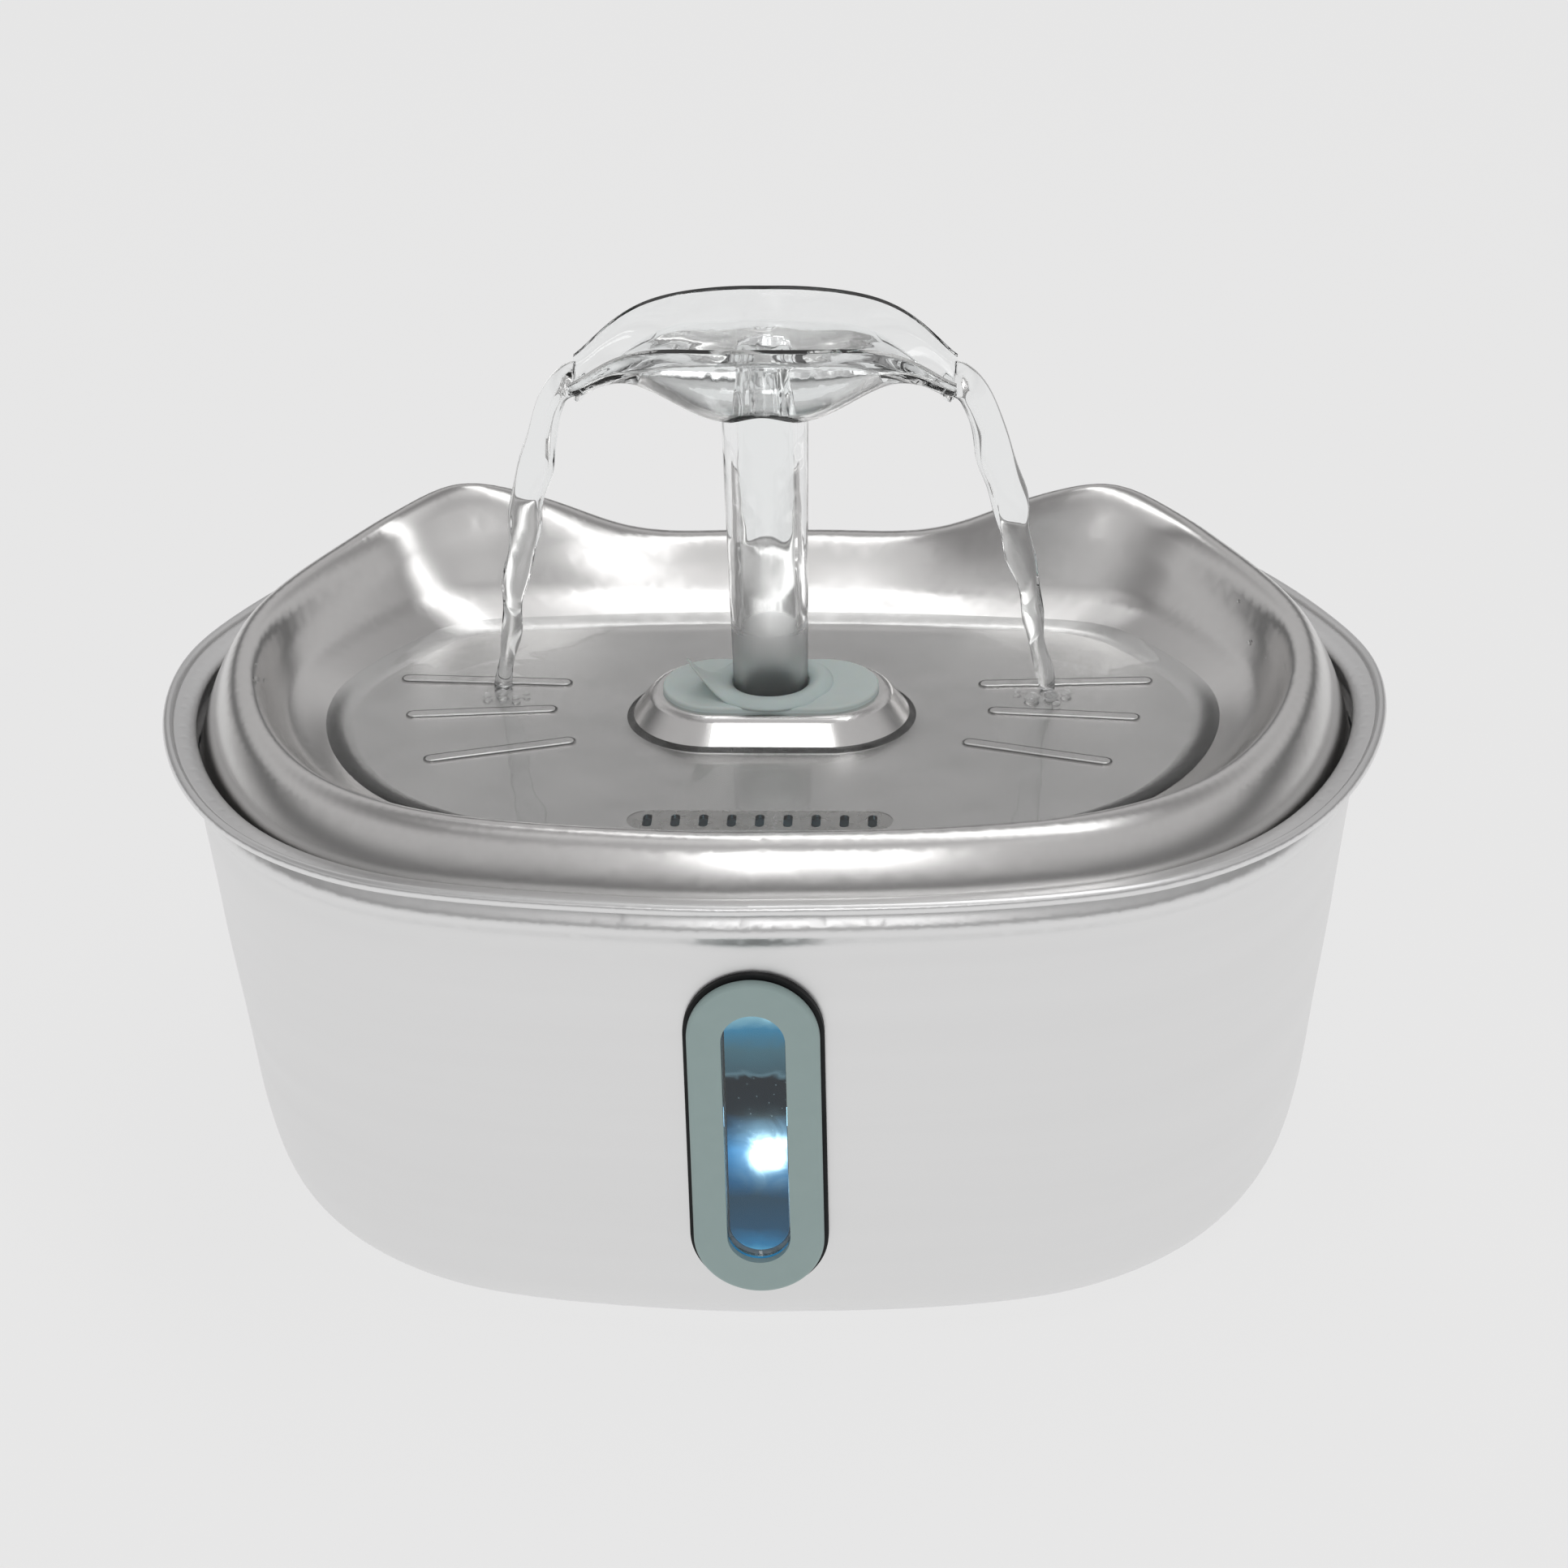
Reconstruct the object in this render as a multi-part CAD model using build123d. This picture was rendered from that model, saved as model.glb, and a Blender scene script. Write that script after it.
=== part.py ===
from build123d import *
import math
import os

os.makedirs("parts", exist_ok=True)

# Pet drinking fountain: a pressed steel tank, a lift-out steel tray with two ear corners, a clear spout that
# pours two streams, and a submerged pump. Origin: middle of the outline, on the table. +Z up, front is -Y.

# ---- Driving dimensions, millimetres ----
RIM_WIDTH = 250.0
RIM_DEPTH = 170.0
RIM_HEIGHT = 105.0
FOOT_HEIGHT = 1.5
SHEET = 0.9  # tank sheet
TRAY_SHEET = 0.8
BEAD_RADIUS = 1.15
COLLAR_HEIGHT = 12.0
COLLAR_FLARE = 5.0  # how far the collar stands out over the wall, without the bead
WALL_IN = {"side": 12.5, "front": 5.0, "rear": 8.0}  # wall's lean from collar to table
BOTTOM_ROUND = {"side": 17.0, "front": 11.0, "rear": 14.0}
BOTTOM_ROUND_HEIGHT = 14.0

SPOUT_Y = 2.0  # spout axis, behind the middle of the outline
SEAT_GAP = 0.3  # air between lift-out parts and what carries them
RUN_GAP = 0.1  # radial clearance of parts that slide or turn

TRAY_FLOOR_DROP = 4.0  # tray floor below the rim
CREST_RISE = 7.3  # tray crest above the rim
EAR_RISE = 12.5  # ears above the crest
SKIRT_DROP = 10.3  # bottom of the tray's skirt below the rim

WINDOW_WIDTH = 25.6
WINDOW_LENGTH = 72.4
SLOT_WIDTH = 12.4
SLOT_LENGTH = 58.0
WINDOW_TOP_DROP = 18.0  # top of the bezel below the rim

TUBE_TOP = 17.5
TUBE_BOTTOM = 15.0
TUBE_BORE = 11.0
TUBE_RISE = 62.0  # underside of the head above the rim
HEAD_WIDTH = 76.0
HEAD_DEPTH = 26.0
HEAD_WALL = 1.6
# Boat-shaped head, one row per cross-section from the middle to the lip: share of half its width, height of
# its underside, front edge and rear edge over the tube's top, share of half its depth.
HEAD_SECTIONS = (
    (0.0, 0.0, 19.0, 23.0, 1.0),
    (0.23, 0.5, 19.0, 22.8, 1.0),
    (0.42, 3.6, 19.0, 22.1, 0.97),
    (0.62, 8.0, 18.2, 20.4, 0.9),
    (0.82, 8.3, 14.6, 16.4, 0.74),
    (1.0, 6.0, 9.6, 11.0, 0.52),
)

PAD_LENGTH = 44.0
PAD_WIDTH = 23.0
PAD_RISE = 4.0  # top of the silicone pad above the rim
BOSS_LENGTH = 59.5
BOSS_WIDTH = 35.0

RISER_OUTER = 16.0
RISER_BORE = 12.4
PLUG_LENGTH = 14.0

FILTER_LENGTH = 120.0
FILTER_WIDTH = 66.0
FILTER_HEIGHT = 20.0
FILTER_WALL = 1.6
FILTER_TRAVEL = 10.0

PUMP_WIDTH = 44.0
PUMP_LENGTH = 42.0  # without its cover
PUMP_HEIGHT = 41.0
PUMP_TRAVEL = 8.0
CUP_HEIGHT = 4.0
VOLUTE = 27.0  # bore of the volute chamber
VOLUTE_DEPTH = 12.0
ROTOR = 14.0  # magnet
ROTOR_LENGTH = 17.0
SHAFT = 2.5
NOZZLE_LENGTH = 21.0
NOZZLE_PLAY = 2.2  # nozzle in the riser, across

# ---- Places worked out from them ----
AXIS = (0.0, SPOUT_Y)
FLOOR_IN = FOOT_HEIGHT + SHEET  # inside face of the tank's bottom
CREASE_Z = RIM_HEIGHT - COLLAR_HEIGHT
BEAD_Z = RIM_HEIGHT - BEAD_RADIUS
TRAY_FLOOR_Z = RIM_HEIGHT - TRAY_FLOOR_DROP
PUMP_Z = FLOOR_IN + CUP_HEIGHT
PUMP_TOP = PUMP_Z + PUMP_HEIGHT
PUMP_FRONT = SPOUT_Y - VOLUTE_DEPTH / 2 - 1.5
PUMP_BACK = PUMP_FRONT + PUMP_LENGTH
ROTOR_Z = PUMP_Z + PUMP_HEIGHT - VOLUTE / 2 - 3.0
NOZZLE_OUTER = RISER_BORE - NOZZLE_PLAY
NOZZLE_TOP = PUMP_TOP + NOZZLE_LENGTH
RISER_BOTTOM = PUMP_TOP + PUMP_TRAVEL + 3.0
FILTER_BOTTOM = PUMP_TOP + PUMP_TRAVEL + FILTER_TRAVEL + 2.0
FILTER_TOP = FILTER_BOTTOM + FILTER_HEIGHT


def save(shape, name):
    """Writes one node."""
    shape.label = name
    export_step(shape, f"parts/{name}.step")


# ---- Plan outline shared by the tank and the tray ----
# Half the outline, from the middle of the front: each arc's radius and the heading it ends at.
PLAN_ARCS = ((300.0, 12.0), (73.0, 62.0), (123.0, 90.0), (78.0, 117.0), (400.0, 121.0), (30.0, 172.0))
PLAN_STEPS = (2, 5, 2, 2, 1, 5, 6)  # spline points along each arc, the last one across the back


def half_plan():
    """Points of half the outline, scaled to x 0..1 and y 0 (front)..1 (back)."""
    points = [(0.0, 0.0)]
    x = y = heading = 0.0
    arcs = list(PLAN_ARCS)
    for index, steps in enumerate(PLAN_STEPS):
        if index < len(arcs):
            radius, end = arcs[index]
        else:
            radius, end = x / math.sin(math.radians(heading)), 180.0
        for step in range(1, steps + 1):
            here = heading + (end - heading) * step / steps
            before = heading + (end - heading) * (step - 1) / steps
            x += radius * (math.sin(math.radians(here)) - math.sin(math.radians(before)))
            y += radius * (math.cos(math.radians(before)) - math.cos(math.radians(here)))
            points.append((x, y))
        heading = end
    width = max(p[0] for p in points)
    depth = points[-1][1]
    return [(px / width, py / depth) for px, py in points]


HALF = half_plan()
PLAN = HALF + [(-x, y) for x, y in HALF[-2:0:-1]]


def lengths_along(plan):
    """Share of the outline's length at each point, with the closing point last."""
    run = [0.0]
    for index, here in enumerate(plan):
        after = plan[(index + 1) % len(plan)]
        step = math.hypot((after[0] - here[0]) * RIM_WIDTH / 2, (after[1] - here[1]) * RIM_DEPTH)
        run.append(run[-1] + step)
    return [length / run[-1] for length in run]


SHARES = lengths_along(PLAN)


def ring_points(half_width, front, rear, height, inset=0.0):
    """Points of one closed ring. height is a number or a function of the outline's share."""
    flat = [(x * half_width, front + y * (rear - front)) for x, y in PLAN]
    out = []
    for index, (x, y) in enumerate(flat):
        before, after = flat[index - 1], flat[(index + 1) % len(flat)]
        tx, ty = after[0] - before[0], after[1] - before[1]
        size = math.hypot(tx, ty)
        z = height(SHARES[index]) if callable(height) else height
        out.append((x - ty / size * inset, y + tx / size * inset, z))
    return out


def ring_wire(points):
    """Smooth closed wire through a ring's points, with the same parameters for every ring."""
    return Wire([Edge.make_spline([Vector(*p) for p in points], periodic=True, parameters=SHARES)])


def loft_rings(rings):
    """Solid through rings, closed by flat faces at both ends."""
    solid = Solid.make_loft([ring_wire(points) for points in rings])
    return solid if solid.volume > 0 else Solid(solid.wrapped.Reversed())


# ---- Tank ----
def tank_size(z):
    """Half width, front and rear of the tank's outer face at height z."""
    if z >= CREASE_Z:
        inset = BEAD_RADIUS + COLLAR_FLARE * (BEAD_Z - z) / (BEAD_Z - CREASE_Z)
        lean = {"side": 0.0, "front": 0.0, "rear": 0.0}
    else:
        inset = BEAD_RADIUS + COLLAR_FLARE
        drop = (CREASE_Z - z) / (CREASE_Z - FOOT_HEIGHT)
        lean = {side: WALL_IN[side] * (0.68 * drop + 0.32 * drop**2) for side in WALL_IN}
        rise = (z - FOOT_HEIGHT) / BOTTOM_ROUND_HEIGHT
        if rise < 1.0:
            share = 1.0 - math.sqrt(max(0.0, 1.0 - (1.0 - rise) ** 2))
            lean = {side: lean[side] + BOTTOM_ROUND[side] * share for side in lean}
    half_width = RIM_WIDTH / 2 - inset - lean["side"]
    front = -RIM_DEPTH / 2 + inset + lean["front"]
    rear = RIM_DEPTH / 2 - inset - lean["rear"]
    return half_width, front, rear


def tank_ring(z, inset=0.0, at=None):
    half_width, front, rear = tank_size(z)
    return ring_points(half_width, front, rear, z if at is None else at, inset)


ROUND_ANGLES = (0, 18, 36, 54, 72, 90)


def tank_levels():
    """Heights of the tank's rings: the round bottom edge, the wall, the collar's bend and the collar."""
    bottom = [FOOT_HEIGHT + BOTTOM_ROUND_HEIGHT * (1 - math.cos(math.radians(a))) for a in ROUND_ANGLES]
    wall = [bottom[-1] + (CREASE_Z - bottom[-1]) * share for share in (0.3, 0.6, 0.85, 0.96)]
    collar = [CREASE_Z + (BEAD_Z - CREASE_Z) * share for share in (0.0, 0.12, 0.4, 1.0)]
    return bottom + wall + collar


def make_tank():
    levels = tank_levels()
    outer = loft_rings([tank_ring(z) for z in levels])
    inner_rings = [tank_ring(z, SHEET, at=z + SHEET * max(0.0, 1 - (z - FOOT_HEIGHT) / BOTTOM_ROUND_HEIGHT))
                   for z in levels]
    inner = loft_rings(inner_rings)
    angles = (-75, -40, 0, 40, 75)

    def bead_ring(angle, side):
        inset = BEAD_RADIUS - side * BEAD_RADIUS * math.cos(math.radians(angle))
        z = BEAD_Z + BEAD_RADIUS * math.sin(math.radians(angle))
        return ring_points(RIM_WIDTH / 2, -RIM_DEPTH / 2, RIM_DEPTH / 2, z, inset)

    bead = loft_rings([bead_ring(a, 1) for a in angles]) - loft_rings([bead_ring(a, -1) for a in angles])
    return outer - inner + bead, outer, inner


tank, tank_outer, tank_inner = make_tank()

# ---- Level window in the front wall ----
WINDOW_Z = RIM_HEIGHT - WINDOW_TOP_DROP - WINDOW_LENGTH / 2
NECK_RING = 4.0  # neck of the bezel round the slot
LENS_STEP = 1.0
FLANGE = 2.2
NECK_DEPTH = 3.6
GASKET_WIDER = 1.6
GASKET = 0.9
CLAMP = 2.0
CLAMP_WIDTH = SLOT_WIDTH + 2 * NECK_RING + 6.0
CLAMP_LENGTH = SLOT_LENGTH + 2 * NECK_RING + 6.0
SCREW = 2.0
SCREW_HEAD = 3.6
SCREW_X = SLOT_WIDTH / 2 + LENS_STEP + (NECK_RING - LENS_STEP) / 2
SCREW_Y = SLOT_LENGTH * 0.33

wall_top = tank_size(WINDOW_Z + WINDOW_LENGTH / 3)[1]
wall_low = tank_size(WINDOW_Z - WINDOW_LENGTH / 3)[1]
wall_lean = math.atan2(wall_low - wall_top, 2 * WINDOW_LENGTH / 3)
WINDOW = Plane(
    origin=(0, tank_size(WINDOW_Z)[1], WINDOW_Z),
    x_dir=(1, 0, 0),
    z_dir=(0, -math.cos(wall_lean), -math.sin(wall_lean)),
)


def window_slab(width, length, low, high):
    """Oblong slab square to the wall, from low to high along the outward normal."""
    face = WINDOW.offset(low) * SlotOverall(length, width, rotation=90)
    return extrude(face, amount=high - low, dir=WINDOW.z_dir)


neck_width = SLOT_WIDTH + 2 * NECK_RING
neck_length = SLOT_LENGTH + 2 * NECK_RING
tank = tank - window_slab(neck_width + 2 * RUN_GAP, neck_length + 2 * RUN_GAP, -6, 6)

gasket = window_slab(WINDOW_WIDTH + GASKET_WIDER, WINDOW_LENGTH + GASKET_WIDER, -3, GASKET)
gasket = gasket - window_slab(neck_width, neck_length, -4, 4) - tank_outer
bezel = window_slab(WINDOW_WIDTH, WINDOW_LENGTH, GASKET, GASKET + FLANGE)
bezel = bezel + window_slab(neck_width, neck_length, -NECK_DEPTH, GASKET)
bezel = fillet(bezel.faces().sort_by(Axis.Y)[0].outer_wire().edges(), 0.8)
bezel = bezel - window_slab(SLOT_WIDTH, SLOT_LENGTH, -8, 8)
lens_width = SLOT_WIDTH + 2 * LENS_STEP
lens_length = SLOT_LENGTH + 2 * LENS_STEP
bezel = bezel - window_slab(lens_width, lens_length, -8, 0.4)
lens = window_slab(lens_width - 0.04, lens_length - 0.04, -NECK_DEPTH, 0.4)
lens = lens + window_slab(SLOT_WIDTH - 0.04, SLOT_LENGTH - 0.04, 0.4, 1.6)
clamp = window_slab(CLAMP_WIDTH, CLAMP_LENGTH, -NECK_DEPTH - CLAMP, -NECK_DEPTH)
clamp_skirt = window_slab(CLAMP_WIDTH, CLAMP_LENGTH, -NECK_DEPTH, 1)
clamp_skirt = clamp_skirt - window_slab(neck_width + 0.4, neck_length + 0.4, -6, 3)
clamp = (clamp + (clamp_skirt & tank_inner)) - window_slab(SLOT_WIDTH, SLOT_LENGTH, -9, 3)


def window_screw(x, y):
    """Self-tapping screw from inside the tank, through the clamp into the bezel's neck."""
    seat = WINDOW.offset(-NECK_DEPTH - CLAMP)
    shank = extrude(seat * Pos(x, y) * Circle(SCREW / 2), amount=CLAMP + 2.6, dir=WINDOW.z_dir)
    head = extrude(seat * Pos(x, y) * Circle(SCREW_HEAD / 2), amount=1.2, dir=-WINDOW.z_dir)
    cross = extrude(seat.offset(-1.2) * Pos(x, y) * Rectangle(2.2, 0.5), amount=0.5, dir=WINDOW.z_dir)
    return shank + head - cross


screws = [window_screw(x, y) for x in (-SCREW_X, SCREW_X) for y in (-SCREW_Y, SCREW_Y)]
for screw in screws:
    bezel = bezel - screw
    clamp = clamp - screw

save(tank, "tank_shell")
save(gasket, "window_gasket")
save(bezel, "window_bezel")
save(lens, "window_lens")
save(clamp, "window_clamp")
save(Compound(children=screws), "window_screws")

# ---- Feet under the tank ----
FOOT = 16.0
FOOT_X = 60.0
FOOT_Y = 34.0
feet = [Pos(x, y, 0) * Cylinder(FOOT / 2, FOOT_HEIGHT, align=(Align.CENTER, Align.CENTER, Align.MIN))
        for x in (-FOOT_X, FOOT_X) for y in (-FOOT_Y, FOOT_Y)]
feet = [chamfer(foot.edges().group_by(Axis.Z)[0], 0.4) for foot in feet]
save(Compound(children=feet), "rubber_feet")

# ---- Tray ----
def smooth(value, low, high):
    """0 below low, 1 above high, with a soft ramp between."""
    share = min(1.0, max(0.0, (value - low) / (high - low)))
    return share * share * (3 - 2 * share)


def ear(share):
    """Height of the ears along the outline: a long shoulder up the side, then a peak at each rear corner."""
    u = 2 * min(share, 1 - share)
    shoulder = 0.62 * smooth(u, 0.28, 0.84) * (1 - smooth(u, 0.815, 0.915))
    peak = 0.42 * math.exp(-(((u - 0.774) / 0.046) ** 2))
    return shoulder + peak


seat_half, seat_front, seat_rear = tank_size(RIM_HEIGHT - SKIRT_DROP)
skirt_inset = SHEET + SEAT_GAP
SKIRT = (seat_half - skirt_inset, seat_front + skirt_inset, seat_rear - skirt_inset)

# From the floor's edge out over the crest to the skirt: inset from the skirt at the side, front and rear,
# height over the rim and share of the ears' rise.
TRAY_PROFILE = (
    (33.0, 27.5, 34.0, -TRAY_FLOOR_DROP, 0.0),
    (31.0, 26.0, 32.5, -TRAY_FLOOR_DROP + 0.25, 0.0),
    (28.0, 23.5, 30.0, -TRAY_FLOOR_DROP + 1.4, 0.0),
    (24.0, 20.6, 26.0, -1.25, 0.08),
    (20.0, 18.2, 22.6, 0.0, 0.2),
    (18.6, 17.0, 21.0, 0.9, 0.3),
    (15.5, 13.7, 16.0, 3.9, 0.58),
    (11.5, 9.6, 9.5, CREST_RISE, 0.95),
    (9.0, 7.2, 6.8, CREST_RISE - 0.5, 1.0),
    (6.2, 5.0, 4.6, CREST_RISE - 3.0, 0.85),
    (3.6, 2.9, 2.6, 0.4, 0.5),
    (1.4, 1.1, 1.0, -5.0, 0.14),
    (0.0, 0.0, 0.0, -SKIRT_DROP, 0.0),
)


def tray_grid():
    """Rings of the tray's upper face."""
    rings = []
    for side, front, rear, rise, gain in TRAY_PROFILE:
        rings.append(ring_points(
            SKIRT[0] - side, SKIRT[1] + front, SKIRT[2] - rear,
            lambda share, rise=rise, gain=gain: RIM_HEIGHT + rise + gain * EAR_RISE * ear(share),
        ))
    return rings


def sunk_grid(rings, depth):
    """The same rings moved down through the sheet, square to the surface."""
    count = len(rings[0])
    out = []
    for level, ring in enumerate(rings):
        below, above = rings[max(0, level - 1)], rings[min(len(rings) - 1, level + 1)]
        moved = []
        for index, point in enumerate(ring):
            along = Vector(*ring[(index + 1) % count]) - Vector(*ring[index - 1])
            across = Vector(*above[index]) - Vector(*below[index])
            normal = across.cross(along)
            if level == 0:
                normal = Vector(0, 0, 1)
            elif level == len(rings) - 1:
                normal = Vector(normal.X, normal.Y, 0)
            normal = normal.normalized()
            if level and level < len(rings) - 1 and normal.Z < 0:
                normal = -normal
            if level == len(rings) - 1 and normal.dot(Vector(point[0], point[1], 0)) < 0:
                normal = -normal
            spot = Vector(*point) - normal * depth
            moved.append((spot.X, spot.Y, spot.Z))
        out.append(moved)
    return out


def dropped(ring, drop):
    """The same ring, lower."""
    return [(x, y, z - drop) for x, y, z in ring]


upper = tray_grid()
lower = sunk_grid(upper, TRAY_SHEET)
skirt_z = RIM_HEIGHT - SKIRT_DROP
tray = loft_rings(upper + [dropped(upper[-1], 3)]) - loft_rings(lower + [dropped(lower[-1], 4)])
tray = tray - Pos(0, 0, skirt_z) * Box(
    2 * RIM_WIDTH, 2 * RIM_DEPTH, 20, align=(Align.CENTER, Align.CENTER, Align.MAX))

BOSS_TOP_LENGTH = PAD_LENGTH + 4.5
BOSS_TOP_WIDTH = PAD_WIDTH + 4.0
BOSS_TOP = RIM_HEIGHT + PAD_RISE - 1.2
SEAL_HOLE = RISER_OUTER + 5.0


def boss_solid(sunk):
    """Oblong mound in the tray floor; sunk gives its underside."""
    low = Plane((*AXIS, TRAY_FLOOR_Z - TRAY_SHEET / 2 - sunk)) * SlotOverall(
        BOSS_LENGTH - 2 * sunk, BOSS_WIDTH - 2 * sunk)
    top = Plane((*AXIS, BOSS_TOP - sunk)) * SlotOverall(BOSS_TOP_LENGTH - 2 * sunk, BOSS_TOP_WIDTH - 2 * sunk)
    return loft([low, top], ruled=True)


boss = boss_solid(0.0)
boss = fillet(boss.edges().group_by(Axis.Z)[-1], 2.0)
tray = tray + boss
tray = tray - boss_solid(TRAY_SHEET)

# Whisker ribs pressed up in the floor, three a side: inner end, outer end.
WHISKERS = (((42, 14), (78, 16)), ((44, 2), (75, -1)), ((39, -12), (69, -21)))
WHISKER_WIDTH = 3.4
WHISKER_RISE = 1.0


def whisker(start, end, side):
    """Low round-topped rib on the tray floor."""
    x = side * (start[0] + end[0]) / 2
    y = SPOUT_Y + (start[1] + end[1]) / 2
    length = math.dist(start, end)
    turn = math.degrees(math.atan2(end[1] - start[1], side * (end[0] - start[0])))
    base = Plane((x, y, TRAY_FLOOR_Z - TRAY_SHEET / 2)) * SlotOverall(length, WHISKER_WIDTH, rotation=turn)
    rib = extrude(base, amount=WHISKER_RISE + TRAY_SHEET / 2)
    return fillet(rib.edges().group_by(Axis.Z)[-1], 0.7)


for start, end in WHISKERS:
    for side in (-1, 1):
        tray = tray + whisker(start, end, side)

# Oblong opening at the front of the floor, with a slotted strainer.
DRAIN_LENGTH = 52.0
DRAIN_WIDTH = 8.0
DRAIN_Y = SKIRT[1] + TRAY_PROFILE[0][1] + DRAIN_WIDTH / 2 + 3.0
DRAIN_SLOTS = 9
drain = Plane((0, DRAIN_Y, TRAY_FLOOR_Z - 3)) * SlotOverall(DRAIN_LENGTH, DRAIN_WIDTH)
tray = tray - extrude(drain, amount=6)
tray = tray - Pos(*AXIS, BOSS_TOP) * Cylinder(SEAL_HOLE / 2, 12)
save(tray, "drinking_tray")

STRAINER = 2.2  # thickness
strainer_plane = Plane((0, DRAIN_Y, TRAY_FLOOR_Z - STRAINER))
strainer_face = SlotOverall(DRAIN_LENGTH - RUN_GAP, DRAIN_WIDTH - RUN_GAP)
strainer = extrude(strainer_plane * strainer_face, amount=STRAINER - 0.2)
strainer = strainer + extrude(
    strainer_plane * SlotOverall(DRAIN_LENGTH + 3, DRAIN_WIDTH + 3), amount=STRAINER - TRAY_SHEET)
for index in range(DRAIN_SLOTS):
    x = (index - (DRAIN_SLOTS - 1) / 2) * (DRAIN_LENGTH - 8) / (DRAIN_SLOTS - 1)
    slot = Plane((x, DRAIN_Y, TRAY_FLOOR_Z - 4)) * SlotOverall(5.0, 1.8, rotation=90)
    strainer = strainer - extrude(slot, amount=6)
save(strainer, "tray_strainer")

# ---- Seal, riser and nut in the boss ----
SEAL_NECK = SEAL_HOLE - 0.1
PLUG_OUTER = RISER_BORE - 2 * RUN_GAP
RISER_TOP = BOSS_TOP - 1.0
pad_top = RIM_HEIGHT + PAD_RISE
pad = extrude(Plane((*AXIS, BOSS_TOP)) * SlotOverall(PAD_LENGTH, PAD_WIDTH), amount=pad_top - BOSS_TOP)
pad = fillet(pad.edges().group_by(Axis.Z)[-1], 0.6)
neck_low = BOSS_TOP - TRAY_SHEET - 2.4
neck = Pos(*AXIS, neck_low) * Cylinder(SEAL_NECK / 2, BOSS_TOP - neck_low,
                                       align=(Align.CENTER, Align.CENTER, Align.MIN))
seal_lip = Pos(*AXIS, neck_low) * Cylinder(SEAL_HOLE / 2 + 2.0, 2.3,
                                           align=(Align.CENTER, Align.CENTER, Align.MIN))
seal = pad + neck + seal_lip
seal = seal - Pos(*AXIS, neck_low - 1) * Cylinder(
    RISER_OUTER / 2, RISER_TOP - neck_low + 1, align=(Align.CENTER, Align.CENTER, Align.MIN))
seal = seal - Pos(*AXIS, BOSS_TOP) * Cylinder(TUBE_BOTTOM / 2 + SEAT_GAP, 20)
save(seal, "tray_seal")


def tube(outer, bore, low, high):
    """Upright tube on the spout's axis."""
    align = (Align.CENTER, Align.CENTER, Align.MIN)
    solid = Cylinder(outer / 2, high - low, align=align)
    if bore:
        solid = solid - Cylinder(bore / 2, high - low, align=align)
    return Pos(*AXIS, low) * solid


NUT_HEIGHT = 4.0
NUT = 28.0
riser = tube(RISER_OUTER, RISER_BORE, RISER_BOTTOM, RISER_TOP)
save(riser, "riser_tube")
nut = extrude(Plane((*AXIS, neck_low - NUT_HEIGHT)) * RegularPolygon(NUT / 2, 8), amount=NUT_HEIGHT)
nut = nut - tube(RISER_OUTER, 0, neck_low - NUT_HEIGHT - 1, neck_low + 1)
save(nut, "seal_nut")

# ---- Clear spout ----
def cone_tube(low, high, low_radius, high_radius):
    """Upright solid on the spout's axis, round, from one radius to another."""
    lower_face = Plane((*AXIS, low)) * Circle(low_radius)
    upper_face = Plane((*AXIS, high)) * Circle(high_radius)
    return loft([lower_face, upper_face], ruled=True)


HEAD_LOW = RIM_HEIGHT + TUBE_RISE
OVERCUT = 8.0  # how far a cutting body runs past what it cuts


def head_section(x, low, front, rear, half_depth, wall):
    """Upright U-shaped face across the head at x. wall moves it inwards and runs its open side upwards."""
    over = OVERCUT if wall else 0.0
    half = half_depth - wall
    low = HEAD_LOW + low + wall
    front, rear = HEAD_LOW + front, HEAD_LOW + rear
    points = [
        (-half, front + over),
        (-half, front - 0.2 * (front - low)),
        (-0.86 * half, low + 0.4 * (front - low)),
        (-0.5 * half, low + 0.1 * (front - low)),
        (0, low),
        (0.5 * half, low + 0.1 * (rear - low)),
        (0.86 * half, low + 0.4 * (rear - low)),
        (half, rear - 0.2 * (rear - low)),
        (half, rear + over),
    ]
    spots = [Vector(x, SPOUT_Y + y, z) for y, z in points]
    curve = Edge.make_spline(spots, parameters=[index / (len(spots) - 1) for index in range(len(spots))])
    return Wire([curve, Edge.make_line(spots[-1], spots[0])])


def head_solid(wall):
    """The head's outside, or with a wall its hollow."""
    wires = []
    for side, rows in ((-1, HEAD_SECTIONS[:0:-1]), (1, HEAD_SECTIONS)):
        for share, low, front, rear, deep in rows:
            x = share * HEAD_WIDTH / 2
            if wall and share == 1.0:
                x += 1.5
            wires.append(head_section(side * x, low, front, rear, deep * HEAD_DEPTH / 2, wall))
    solid = Solid.make_loft(wires)
    return solid if solid.volume > 0 else Solid(solid.wrapped.Reversed())


spout = cone_tube(RIM_HEIGHT + PAD_RISE - 2.2, HEAD_LOW + 6.0, TUBE_BOTTOM / 2, TUBE_TOP / 2)
spout = spout + head_solid(0.0)
spout = spout - head_solid(HEAD_WALL)
plug_top = RISER_TOP + SEAT_GAP
plug_low = RISER_TOP - PLUG_LENGTH
spout = spout + tube(PLUG_OUTER, 0, plug_low, plug_top + 3)
PLUG_BORE = PLUG_OUTER - 4.0
spout = spout - tube(TUBE_BORE, 0, plug_top + 3, HEAD_LOW + 4) - tube(PLUG_BORE, 0, plug_low - 1, HEAD_LOW)
RING_WIRE = 1.6
ring_z = plug_low + 4.0
groove_radius = PLUG_OUTER / 2 - RING_WIRE + 0.1
groove_half = RING_WIRE / 2 + 0.1
spout = spout - tube(PLUG_OUTER + 1, 2 * groove_radius, ring_z - groove_half, ring_z + groove_half)
save(spout, "spout")
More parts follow.
